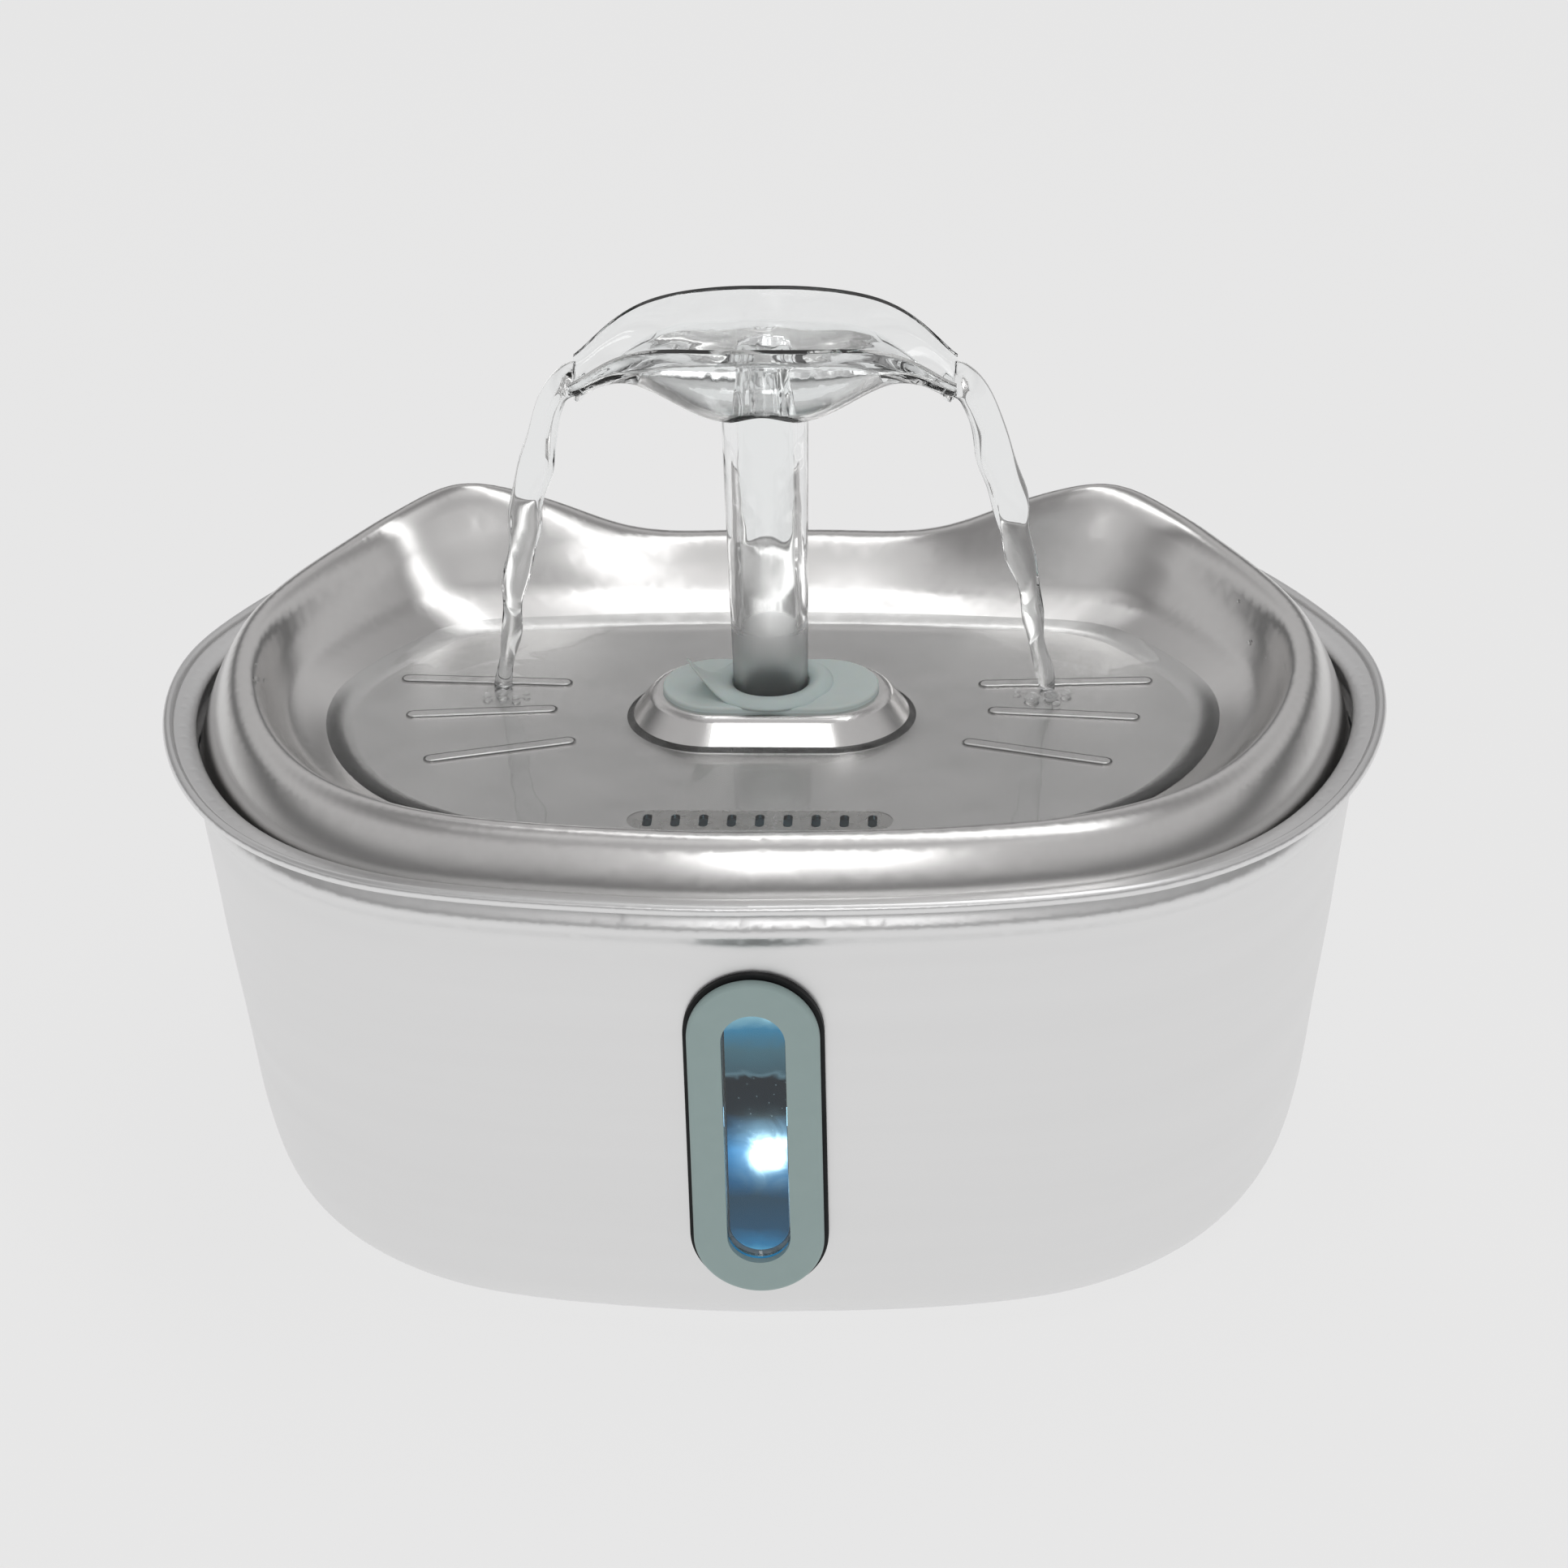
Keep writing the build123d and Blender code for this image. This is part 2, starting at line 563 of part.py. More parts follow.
o_ring = Pos(*AXIS, ring_z) * Torus(groove_radius + RING_WIRE / 2, RING_WIRE / 2)
save(o_ring, "spout_o_ring")

# ---- Filter that hangs on the riser, under the tray ----
LID = 1.6
HUB = RISER_OUTER + 2 * RUN_GAP
hub_outer = HUB + 2 * FILTER_WALL


def filter_slab(shrink, low, high):
    """Oblong slab on the spout's axis."""
    return extrude(Plane((*AXIS, low)) * SlotOverall(FILTER_LENGTH - 2 * shrink, FILTER_WIDTH - 2 * shrink),
                   amount=high - low)


housing = filter_slab(0, FILTER_BOTTOM, FILTER_TOP - LID)
housing = housing - filter_slab(FILTER_WALL, FILTER_BOTTOM + FILTER_WALL, FILTER_TOP)
housing = housing + tube(hub_outer, 0, FILTER_BOTTOM, FILTER_TOP - LID)
housing = housing - tube(HUB, 0, FILTER_BOTTOM - 1, FILTER_TOP + 1)
FILTER_HOLES = 6
hole_step = (FILTER_LENGTH / 2 - hub_outer / 2 - 12) / (FILTER_HOLES / 2)
for side in (-1, 1):
    for column in range(FILTER_HOLES // 2 + 1):
        for row in (-1, 0, 1):
            x = side * (hub_outer / 2 + 5 + column * hole_step)
            hole = Pos(x, SPOUT_Y + row * 14, FILTER_BOTTOM) * Cylinder(1.6, 8)
            housing = housing - hole
save(housing, "filter_housing")

lid = filter_slab(0, FILTER_TOP - LID, FILTER_TOP) - tube(HUB, 0, FILTER_TOP - 5, FILTER_TOP + 1)
for side in (-1, 1):
    for index in range(6):
        x = side * (hub_outer / 2 + 6 + index * 6.5)
        slot = Plane((x, SPOUT_Y, FILTER_TOP - 4)) * SlotOverall(FILTER_WIDTH * 0.55, 2.4, rotation=90)
        lid = lid - extrude(slot, amount=8)
save(lid, "filter_lid")

inside_low = FILTER_BOTTOM + FILTER_WALL
inside_high = FILTER_TOP - LID
fleece_low = inside_high - 3.0
media = filter_slab(FILTER_WALL + 0.3, inside_low, fleece_low) - tube(hub_outer + 0.6, 0, 0, 200)
left_half = Pos(-FILTER_LENGTH / 2, SPOUT_Y, 0) * Box(FILTER_LENGTH - 0.6, 200, 400)
save(media & left_half, "carbon_pack")
save(media - left_half - Pos(0, SPOUT_Y, 0) * Box(0.6, 200, 400), "resin_pack")
fleece = filter_slab(FILTER_WALL + 0.3, fleece_low, inside_high) - tube(hub_outer + 0.6, 0, 0, 200)
save(fleece, "cotton_sheet")

# ---- Pump ----
def along_y(radius, low, high, x=0.0, z=ROTOR_Z):
    """Cylinder along Y between two places."""
    plane = Plane((x, low, z), x_dir=(1, 0, 0), z_dir=(0, 1, 0))
    return extrude(plane * Circle(radius), amount=high - low)


def block(x0, x1, y0, y1, z0, z1):
    """Box between two corners."""
    solid = Box(x1 - x0, y1 - y0, z1 - z0, align=(Align.MIN, Align.MIN, Align.MIN))
    return Pos(x0, y0, z0) * solid


PUMP_WALL = 2.0
WELL_WALL = 1.2
rotor_start = PUMP_FRONT + VOLUTE_DEPTH
well_bore = ROTOR / 2 + 0.5
well_end = rotor_start + ROTOR_LENGTH + 4.0
housing = block(-PUMP_WIDTH / 2, PUMP_WIDTH / 2, PUMP_FRONT, PUMP_BACK, PUMP_Z, PUMP_TOP)
housing = fillet(housing.edges().filter_by(Axis.Y), 4.0)
cavity = block(-PUMP_WIDTH / 2 + PUMP_WALL, PUMP_WIDTH / 2 - PUMP_WALL, rotor_start + PUMP_WALL, PUMP_BACK,
               PUMP_Z + PUMP_WALL, PUMP_TOP - PUMP_WALL)
housing = housing - cavity
housing = housing + along_y(well_bore + WELL_WALL, rotor_start, well_end + WELL_WALL)
housing = housing - along_y(VOLUTE / 2, PUMP_FRONT, rotor_start) - along_y(well_bore, rotor_start, well_end)
NOZZLE_BORE = NOZZLE_OUTER - 4.0
NOZZLE_SPIGOT = NOZZLE_OUTER - 2.0
NOZZLE_FLANGE = NOZZLE_OUTER + 3.0
SPIGOT_LENGTH = 2.0
housing = housing - tube(NOZZLE_BORE, 0, ROTOR_Z + VOLUTE / 2 - 3, PUMP_TOP + 1)
housing = housing - tube(NOZZLE_SPIGOT + RUN_GAP, 0, PUMP_TOP - SPIGOT_LENGTH, PUMP_TOP + 1)
nozzle = tube(NOZZLE_SPIGOT, 0, PUMP_TOP - SPIGOT_LENGTH, PUMP_TOP + 1)
nozzle = nozzle + tube(NOZZLE_OUTER, 0, PUMP_TOP, NOZZLE_TOP)
nozzle = nozzle + tube(NOZZLE_FLANGE, 0, PUMP_TOP, PUMP_TOP + 1.6)
nozzle = nozzle - tube(NOZZLE_BORE, 0, PUMP_TOP - SPIGOT_LENGTH - 1, NOZZLE_TOP + 1)
save(nozzle, "outlet_nozzle")

# Light in the front, under the cover.
LIGHT_Z = PUMP_Z + 5.6
LIGHT = 6.0
light_depth = 4.0
housing = housing - along_y(LIGHT / 2 + 0.05, PUMP_FRONT, PUMP_FRONT + light_depth, 0, LIGHT_Z)
light_lens = along_y(LIGHT / 2, PUMP_FRONT - 1.0, PUMP_FRONT + 1.6, 0, LIGHT_Z)
light_lens = fillet(light_lens.edges().sort_by(Axis.Y)[0], 0.8)
save(light_lens, "light_lens")
save(along_y(LIGHT / 2 - 0.1, PUMP_FRONT + 1.6, PUMP_FRONT + light_depth, 0, LIGHT_Z), "light_board")

# Flow control, a short stub in the right wall beside the volute.
KNOB_Z = PUMP_TOP - 8.0
KNOB_Y = PUMP_FRONT + 9.0
KNOB = 9.0
KNOB_STEM = 2.0  # radius
knob_face = Plane((PUMP_WIDTH / 2, KNOB_Y, KNOB_Z), x_dir=(0, 1, 0), z_dir=(1, 0, 0))
knob_bore = knob_face * Circle(KNOB_STEM + RUN_GAP / 2)
housing = housing - extrude(knob_bore, amount=-(PUMP_WIDTH / 2 - VOLUTE / 2 - 1.5))
knob = extrude(knob_face.offset(0.3) * Circle(KNOB / 2), amount=3.5)
knob = knob - extrude(knob_face.offset(2.8) * Rectangle(KNOB, 1.4), amount=3)
knob = knob + extrude(knob_face.offset(-4.0) * Circle(KNOB_STEM), amount=4.3)
save(knob, "flow_knob")

core_low = rotor_start + PUMP_WALL + 3.0
core_high = core_low + 12.0
core = block(-15, 15, core_low, core_high, PUMP_Z + PUMP_WALL + 1, ROTOR_Z + 13)
core = core - along_y(well_bore + WELL_WALL + 0.05, core_low - 1, core_high + 1)
coil_z = PUMP_Z + PUMP_WALL + 5.0
window_top = ROTOR_Z - well_bore - WELL_WALL - 2.0
coil_window = block(-10, 10, core_low - 1, core_high + 1, coil_z, window_top)
core = core - coil_window
save(core, "stator_core")
coil_top = ROTOR_Z - well_bore - WELL_WALL - 2.1
coil = block(-9.8, 9.8, core_low - 2.0, core_high + 2.0, coil_z + 0.1, coil_top)
save(coil, "stator_coil")

gland_z = PUMP_TOP - 8.0
gland_radius = 3.5
potting = cavity - along_y(well_bore + WELL_WALL, 0, 200) - core - coil
potting = potting & block(-100, 100, core_low - 2.0, PUMP_BACK, 0, 200)
potting = potting + (cavity & block(-100, 100, well_end + WELL_WALL + 0.2, PUMP_BACK, 0, 200))
CORD_BORE = 4.2
potting = potting - along_y(gland_radius, PUMP_BACK - 4.0, PUMP_BACK + 1, 0, gland_z)
save(potting, "pump_potting")
gland = along_y(gland_radius, PUMP_BACK - 4.0, PUMP_BACK + 8.0, 0, gland_z)
gland = gland + along_y(gland_radius + 1.2, PUMP_BACK, PUMP_BACK + 1.5, 0, gland_z)
gland = gland - along_y(CORD_BORE / 2, PUMP_BACK - 2.0, PUMP_BACK + 9, 0, gland_z)
save(gland, "cable_gland")

BUSH = 6.0
BUSH_LENGTH = 3.0
shaft_start = PUMP_FRONT + 0.5
rear_bush = along_y(BUSH / 2, well_end - BUSH_LENGTH, well_end)
rear_bush = rear_bush - along_y(SHAFT / 2, well_end - BUSH_LENGTH - 1, well_end + 1)
save(rear_bush, "rear_bush")
save(along_y(SHAFT / 2, shaft_start, well_end), "motor_shaft")
save(housing, "pump_housing")

magnet_low = rotor_start + 0.5
magnet_high = magnet_low + ROTOR_LENGTH - 1.0
hub_radius = SHAFT / 2 + RUN_GAP / 2
magnet = along_y(ROTOR / 2, magnet_low, magnet_high) - along_y(3.0, magnet_low - 1, magnet_high + 1)
save(magnet, "rotor_magnet")
VANES = 6
wheel_low = PUMP_FRONT + 3.5
wheel = along_y(3.0, wheel_low, magnet_high)
wheel = wheel + along_y(VOLUTE / 2 - 3.0, rotor_start - 2.0, rotor_start - 0.8)
wheel = wheel + along_y(4.5, rotor_start - 1.0, magnet_low)
for index in range(VANES):
    vane = block(2.0, VOLUTE / 2 - 3.2, wheel_low, rotor_start - 1.5, -0.6, 0.6)
    vane = Pos(0, 0, ROTOR_Z) * Rot(0, 360 * index / VANES, 0) * vane
    wheel = wheel + vane
wheel = wheel - along_y(hub_radius, wheel_low - 1, magnet_high + 1)
save(wheel, "impeller")

# Cover with intake slots; it pulls off forwards.
COVER = 31.0
COVER_THICK = 2.4
INTAKE_SLOT = 1.6
INTAKE_PITCH = 3.0
INTAKE_REACH = VOLUTE / 2 - 3.5  # radius the slots end at
INTAKE_SIDE = int((INTAKE_REACH - 1) / INTAKE_PITCH)  # slots on each side of the middle
cover = along_y(COVER / 2, PUMP_FRONT - COVER_THICK, PUMP_FRONT)
cover = cover + along_y(VOLUTE / 2 - RUN_GAP, PUMP_FRONT, PUMP_FRONT + 2.0)
cover = cover - along_y(VOLUTE / 2 - 2.0, PUMP_FRONT, PUMP_FRONT + 3.0)
cover = cover + along_y(BUSH / 2 + 1.5, PUMP_FRONT - COVER_THICK, PUMP_FRONT + 2.9)
for index in range(-INTAKE_SIDE, INTAKE_SIDE + 1):
    if index:
        x = index * INTAKE_PITCH
        half = math.sqrt(INTAKE_REACH**2 - x**2)
        slot = block(x - INTAKE_SLOT / 2, x + INTAKE_SLOT / 2, PUMP_FRONT - 5, PUMP_FRONT + 1, -half, half)
        keep = along_y(BUSH / 2 + 1.5, PUMP_FRONT - 6, PUMP_FRONT + 5, 0, 0)
        cover = cover - Pos(0, 0, ROTOR_Z) * (slot - keep)
cover = cover - along_y(BUSH / 2, PUMP_FRONT - 0.1, PUMP_FRONT + 3)
save(cover, "pump_cover")
front_bush = along_y(BUSH / 2, PUMP_FRONT - 0.1, PUMP_FRONT + 2.9)
front_bush = front_bush - along_y(SHAFT / 2 + RUN_GAP / 2, PUMP_FRONT + 0.4, PUMP_FRONT + 4)
save(front_bush, "front_bush")

# Suction cups under the pump.
CUP = 12.0
cups = []
for x in (-PUMP_WIDTH / 2 + 7, PUMP_WIDTH / 2 - 7):
    for y in (PUMP_FRONT + 7, PUMP_BACK - 7):
        lower_face = Plane((x, y, FLOOR_IN)) * Circle(CUP / 2)
        upper_face = Plane((x, y, PUMP_Z - 1.2)) * Circle(3.0)
        cup = loft([lower_face, upper_face], ruled=True)
        cup = cup + Pos(x, y, PUMP_Z - 1.2) * Cylinder(
            3.5, 1.2, align=(Align.CENTER, Align.CENTER, Align.MIN))
        hollow = loft([Plane((x, y, FLOOR_IN)) * Circle(CUP / 2 - 0.8),
                       Plane((x, y, FLOOR_IN + 1.4)) * Circle(2.0)], ruled=True)
        cups.append(cup - hollow)
save(Compound(children=cups), "suction_cups")
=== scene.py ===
import bpy
import math
from mathutils import Matrix, Vector, noise
from mathutils.bvhtree import BVHTree


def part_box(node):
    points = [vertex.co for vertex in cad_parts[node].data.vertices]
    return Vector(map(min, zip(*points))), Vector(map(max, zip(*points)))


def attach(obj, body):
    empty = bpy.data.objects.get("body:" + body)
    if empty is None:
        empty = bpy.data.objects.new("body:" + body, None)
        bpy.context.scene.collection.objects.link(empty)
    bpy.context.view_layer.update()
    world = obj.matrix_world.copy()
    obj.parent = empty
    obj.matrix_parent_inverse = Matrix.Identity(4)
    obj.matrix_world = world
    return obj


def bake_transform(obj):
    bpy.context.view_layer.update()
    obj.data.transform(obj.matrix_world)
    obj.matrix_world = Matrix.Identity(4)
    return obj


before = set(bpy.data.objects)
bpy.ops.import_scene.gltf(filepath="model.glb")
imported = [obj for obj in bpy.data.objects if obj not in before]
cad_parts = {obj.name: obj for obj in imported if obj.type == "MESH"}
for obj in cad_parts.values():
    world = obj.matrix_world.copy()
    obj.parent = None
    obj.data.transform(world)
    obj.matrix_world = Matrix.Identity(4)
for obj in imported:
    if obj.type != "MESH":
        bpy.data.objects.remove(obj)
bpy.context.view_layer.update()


# ---- Tank shell ----
# Deep-drawn 0.9 mm stainless steel tank with a flared collar and a rolled bead.
# The wall is satin polished with a fine belt, so it has a faint level grain and no mirror.
def linear(code):
    """sRGB hex to linear light, with alpha 1."""
    parts = [int(code[i:i + 2], 16) / 255 for i in (1, 3, 5)]
    return (*(c / 12.92 if c <= 0.04045 else ((c + 0.055) / 1.055) ** 2.4 for c in parts), 1.0)


def node(tree, kind, settings=None, links=None):
    """Adds a node. settings: input or property name to value. links: input to (node, output)."""
    made = tree.nodes.new(kind)
    for name, value in (settings or {}).items():
        if isinstance(name, int) or name in made.inputs:
            made.inputs[name].default_value = value
        else:
            setattr(made, name, value)
    for name, (source, output) in (links or {}).items():
        tree.links.new(source.outputs[output], made.inputs[name])
    return made


def place_mm(tree, stretch=(1, 1, 1)):
    """Object coordinates in millimetres, each axis times its stretch."""
    spot = node(tree, "ShaderNodeTexCoord")
    scale = [1000 * s for s in stretch]
    return node(tree, "ShaderNodeMapping", {"Scale": scale}, {"Vector": (spot, "Object")})


def blank(name):
    """Empty material with its tree and output."""
    made = bpy.data.materials.new(name)
    made.use_nodes = True
    made.node_tree.nodes.clear()
    return made, made.node_tree, node(made.node_tree, "ShaderNodeOutputMaterial")


def finish_material(name, colour, second, rough, grain, bump, stretch=(1, 1, 1), **socket):
    """Surface of two close colours. A cloud of twelve grains mixes them and moves the roughness.
    rough is (least, most), grain and bump are millimetres, socket holds the shader's own values."""
    made, tree, out = blank(name)
    where = place_mm(tree, stretch)
    cloud = node(tree, "ShaderNodeTexNoise", {"Scale": 1 / (12 * grain), "Detail": 3.0},
                 {"Vector": (where, 0)})
    fine = node(tree, "ShaderNodeTexNoise", {"Scale": 1 / grain, "Detail": 2.0}, {"Vector": (where, 0)})
    tint = node(tree, "ShaderNodeMix", {"data_type": "RGBA", 6: linear(colour), 7: linear(second)},
                {0: (cloud, 0)})
    gloss = node(tree, "ShaderNodeMapRange", {"From Min": 0.3, "From Max": 0.7, "To Min": rough[0],
                                              "To Max": rough[1]}, {"Value": (cloud, 0)})
    relief = node(tree, "ShaderNodeBump", {"Strength": 1.0, "Distance": bump / 1000}, {"Height": (fine, 0)})
    settings = {key.replace("_", " "): value for key, value in socket.items()}
    shader = node(tree, "ShaderNodeBsdfPrincipled", settings,
                  {"Base Color": (tint, 2), "Roughness": (gloss, 0), "Normal": (relief, 0)})
    tree.links.new(shader.outputs[0], out.inputs[0])
    return made


def dress(names, material):
    """Gives CAD nodes one finish."""
    for name in names:
        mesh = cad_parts[name].data
        mesh.materials.clear()
        mesh.materials.append(material)


satin_steel = finish_material("satin_stainless", "#ececec", "#e9e9e9", (0.34, 0.37), 0.5, 0.0004,
                              (0.04, 0.04, 1), Metallic=1.0)
dress(["tank_shell"], satin_steel)

# ---- Window gasket ----
# Black nitrile sheet, die cut to the bezel's outline; a thin edge of it shows all round.
# The same dull, faintly grained rubber makes the O-ring, bushes, cups and feet.
nitrile = finish_material("nitrile_rubber", "#0e0f10", "#17181a", (0.55, 0.7), 0.4, 0.01,
                          Specular_IOR_Level=0.4)
dress(["window_gasket", "spout_o_ring", "cable_gland", "rear_bush", "front_bush", "suction_cups"], nitrile)

# ---- Window bezel ----
# Injection-moulded ABS, grey green, with a fine spark-eroded texture that keeps highlights soft.
# Its edge covers the tank's cut-out; the clamp behind draws it tight on the gasket.
bezel_abs = finish_material("sage_abs", "#a2b6b4", "#9cb0ae", (0.42, 0.5), 0.35, 0.004)
dress(["window_bezel"], bezel_abs)


# ---- Window lens ----
# Clear polycarbonate bar pressed in the bezel, with the lit tank water right behind it.
# The water's blue glow is painted light: the sheet emits bands of glow and shade by height, with bright spots
# for the pump's lamp and its reflection; it carries fine bubbles under its level, painted as bright dots.
def clear_material(name, colour, ior, rough=0.0, bump=None):
    """Clear solid; bump is (grain in mm, depth in mm)."""
    made, tree, out = blank(name)
    shader = node(tree, "ShaderNodeBsdfPrincipled", {"Base Color": linear(colour), "IOR": ior,
                                                     "Roughness": rough, "Transmission Weight": 1.0})
    if bump:
        where = place_mm(tree)
        grain, depth = bump
        fine = node(tree, "ShaderNodeTexNoise", {"Scale": 1 / grain, "Detail": 2.0}, {"Vector": (where, 0)})
        relief = node(tree, "ShaderNodeBump", {"Strength": 1.0, "Distance": depth / 1000},
                      {"Height": (fine, 0)})
        tree.links.new(relief.outputs[0], shader.inputs["Normal"])
    tree.links.new(shader.outputs[0], out.inputs[0])
    return made


polycarbonate = clear_material("clear_polycarbonate", "#f4fafa", 1.585, 0.02, (3.0, 0.01))
dress(["window_lens"], polycarbonate)


def mesh_object(name, points, faces, material, smooth=True):
    """Object from points in metres and faces."""
    mesh = bpy.data.meshes.new(name)
    mesh.from_pydata([tuple(p) for p in points], [], faces)
    mesh.materials.append(material)
    for face in mesh.polygons:
        face.use_smooth = smooth
    mesh.validate()
    mesh.update()
    made = bpy.data.objects.new(name, mesh)
    bpy.context.collection.objects.link(made)
    return made


def painted_glow_water_material(low, high, middle_y):
    """Painted glow of the lit water between two heights, metres: emitted light and shade in bands, with
    bright spots.
    """
    made, tree, out = blank("painted_glow_tank_water")
    spot = node(tree, "ShaderNodeTexCoord")
    split = node(tree, "ShaderNodeSeparateXYZ", {}, {0: (spot, "Object")})
    wobble = node(tree, "ShaderNodeTexNoise", {"Scale": 160.0, "Detail": 3.0, "Distortion": 1.2},
                  {0: (spot, "Object")})
    shift = node(tree, "ShaderNodeMath", {"operation": "MULTIPLY_ADD", 1: 0.004, 2: -0.002}, {0: (wobble, 0)})
    height = node(tree, "ShaderNodeMath", {"operation": "ADD"}, {0: (split, 2), 1: (shift, 0)})
    share = node(tree, "ShaderNodeMapRange", {"From Min": low, "From Max": high}, {"Value": (height, 0)})
    ramp = node(tree, "ShaderNodeValToRGB", {}, {0: (share, 0)})
    # Painted light and shade by height: glow at the bottom, at the lamp and under the lens's top, a dark band
    # under the level, a bright level line and lighter ripples above it.
    stops = ((0.0, "#5fb6e0"), (0.035, "#2d7fb0"), (0.1, "#1f4f6e"), (0.22, "#23465c"), (0.34, "#1b6fa6"),
             (0.42, "#1384c8"), (0.49, "#1c5c86"), (0.56, "#0f1f28"), (0.71, "#0c1820"), (0.725, "#5f7f8c"),
             (0.74, "#3f5f6c"), (0.82, "#48707f"), (0.9, "#3a86ac"), (0.97, "#9fd0de"), (1.0, "#c4e6ee"))
    while len(ramp.color_ramp.elements) < len(stops):
        ramp.color_ramp.elements.new(1.0)
    for element, (at, code) in zip(ramp.color_ramp.elements, stops):
        element.position = at
        element.color = linear(code)
    glow = None
    # Painted glow spots: the pump lamp's light in the water, its haze, and a painted reflection of it under
    # the lens's top.
    painted_glow_spots = ((0.0022, 0.0455, 0.0062, 1.9),  # x, z, radius in metres, power: the lamp's core,
             (0.0022, 0.0462, 0.0125, 0.35),  # the haze round it
             (0.0030, 0.0772, 0.0032, 0.9))  # and its mirror image under the lens's top
    for x, z, size, power in painted_glow_spots:
        away = node(tree, "ShaderNodeVectorMath", {"operation": "DISTANCE", 1: (x, middle_y, z)},
                    {0: (spot, "Object")})
        bend = node(tree, "ShaderNodeMath", {"operation": "ADD"}, {0: (away, "Value"), 1: (shift, 0)})
        near = node(tree, "ShaderNodeMapRange", {"interpolation_type": "SMOOTHERSTEP", "From Min": size,
                                                 "From Max": 0.0, "To Max": power}, {"Value": (bend, 0)})
        if glow is None:
            glow = near
        else:
            glow = node(tree, "ShaderNodeMath", {"operation": "ADD"}, {0: (glow, 0), 1: (near, 0)})
    core = node(tree, "ShaderNodeMix", {"data_type": "RGBA", 7: linear("#c9f2ff")},
                {0: (glow, 0), 6: (ramp, 0)})
    # Fine bubbles under the level, painted as bright dots.
    cells = node(tree, "ShaderNodeTexVoronoi", {"Scale": 1400.0}, {0: (spot, "Object")})
    dot = node(tree, "ShaderNodeMapRange", {"From Min": 0.16, "From Max": 0.06},
               {"Value": (cells, "Distance")})
    some = node(tree, "ShaderNodeTexWhiteNoise", {"noise_dimensions": "3D"}, {0: (cells, "Position")})
    picked = node(tree, "ShaderNodeMath", {"operation": "GREATER_THAN", 1: 0.72}, {0: (some, 0)})
    band = node(tree, "ShaderNodeMapRange", {"From Min": 0.4, "From Max": 0.56, "To Min": 0.1},
                {"Value": (share, 0)})
    under = node(tree, "ShaderNodeMath", {"operation": "LESS_THAN", 1: 0.715}, {0: (share, 0)})
    amount = dot
    for factor in (picked, band, under):
        amount = node(tree, "ShaderNodeMath", {"operation": "MULTIPLY"}, {0: (amount, 0), 1: (factor, 0)})
    bubbly = node(tree, "ShaderNodeMix", {"data_type": "RGBA", 7: linear("#b9dbe6")},
                  {0: (amount, 0), 6: (core, 2)})
    # The whole sheet emits this painted light, brightest at the glow spots.
    power = node(tree, "ShaderNodeMath", {"operation": "MULTIPLY_ADD", 1: 2.2, 2: 0.8}, {0: (glow, 0)})
    shader = node(tree, "ShaderNodeBsdfPrincipled",
                  {"Base Color": linear("#06131a"), "Roughness": 0.15, "Specular IOR Level": 0.0},
                  {"Emission Color": (bubbly, 2), "Emission Strength": (power, 0)})
    tree.links.new(shader.outputs[0], out.inputs[0])
    return made


def oblong(half_width, half_length, steps=16):
    """Outline of an oblong with round ends, long along its second axis."""
    straight = half_length - half_width
    ring = []
    for step in range(2 * steps):
        angle = math.pi * step / steps
        lift = straight if step < steps else -straight
        ring.append((half_width * math.cos(angle), half_width * math.sin(angle) + lift))
    return ring


def window_water():
    """Sheet of water in the lens, parallel with the leaning wall, glowing with painted light."""
    inset_along, inset_across = 0.0015, 0.0013  # from the lens's edges
    front_depth, rear_depth = -0.0008, -0.0002  # from the lens's inside face
    near_end = 0.01  # the lens's inside face is read this near to its two ends
    low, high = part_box("window_lens")
    lens_low, lens_high = low.z, high.z
    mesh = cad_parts["window_lens"].data
    inner_low = max(v.co.y for v in mesh.vertices if v.co.z < lens_low + near_end)
    inner_high = max(v.co.y for v in mesh.vertices if v.co.z > lens_high - near_end)
    lean = (inner_low - inner_high) / (lens_high - lens_low)
    half_length = (lens_high - lens_low) / 2 - inset_along
    half_width = (high.x - low.x) / 2 - inset_across
    middle = (lens_low + lens_high) / 2
    ring = oblong(half_width, half_length)
    points = []
    for depth in (front_depth, rear_depth):
        for x, z in ring:
            y = (inner_low + inner_high) / 2 - lean * z + depth
            points.append((x, y, middle + z))
    count = len(ring)
    faces = [tuple(range(count)), tuple(range(2 * count - 1, count - 1, -1))]
    faces += [(i, i + count, (i + 1) % count + count, (i + 1) % count) for i in range(count)]
    material = painted_glow_water_material(lens_low + 0.001, lens_high - 0.001, (inner_low + inner_high) / 2)
    made = mesh_object("painted_glow_water", points, faces, material, smooth=False)
    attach(made, "tank")


window_water()

# ---- Window clamp and screws ----
# White ABS plate inside the tank, drawn to the bezel by four stainless self-tapping screws.
# The same white ABS, moulded with a light sheen, makes the riser, nut, filter case and impeller.
white_abs = finish_material("white_abs", "#e6e8e8", "#dcdfdf", (0.35, 0.45), 0.5, 0.003)
dress(["window_clamp", "riser_tube", "seal_nut", "filter_housing", "filter_lid", "impeller"], white_abs)
bright_steel = finish_material("turned_stainless", "#c9c8c6", "#bdbcba", (0.22, 0.3), 0.2, 0.0008,
                               Metallic=1.0)
dress(["window_screws", "tray_strainer"], bright_steel)

# ---- Feet ----
# Stick-on pads of black rubber, die cut, under the corners of the tank.
# They grip the table and are seen only from below.
dress(["rubber_feet"], nitrile)

